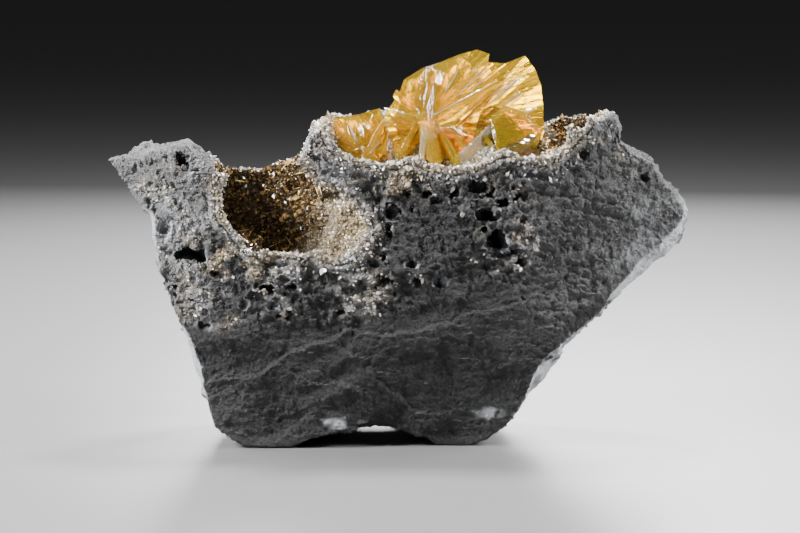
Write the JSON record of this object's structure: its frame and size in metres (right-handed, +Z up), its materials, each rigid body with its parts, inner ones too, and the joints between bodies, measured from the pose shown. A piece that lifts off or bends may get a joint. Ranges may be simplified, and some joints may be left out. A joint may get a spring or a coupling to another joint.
{
  "type": "gypsum specimen",
  "caption": "Broken block of grey marl with two crystal-lined hollows, one open and one filled by a fan and a rosette of clear honey-yellow gypsum blades.",
  "frame": {"origin": "middle of the footprint box, on the plane of the two flats the block stands on", "axes": "+Z up, +X along the block's length towards the end that holds the gypsum, -Y towards the viewer of the broken face, +Y towards the back"},
  "size_m": [0.1454, 0.0514, 0.0984],
  "materials": {
    "marl": "dull, fine-grained grey marl with hackly broken faces and small pits",
    "druse": "sugary crust of small glinting crystals, cream at the rims and brown in the depths",
    "gypsum": "clear honey-yellow selenite with a glassy to pearly lustre"
  },
  "bodies": {
    "root": {"matrix": "marl", "left_hollow_crust": "druse", "right_hollow_crust": "druse", "gypsum_fan": "gypsum", "gypsum_rosette": "gypsum"}
  },
  "joints": []
}
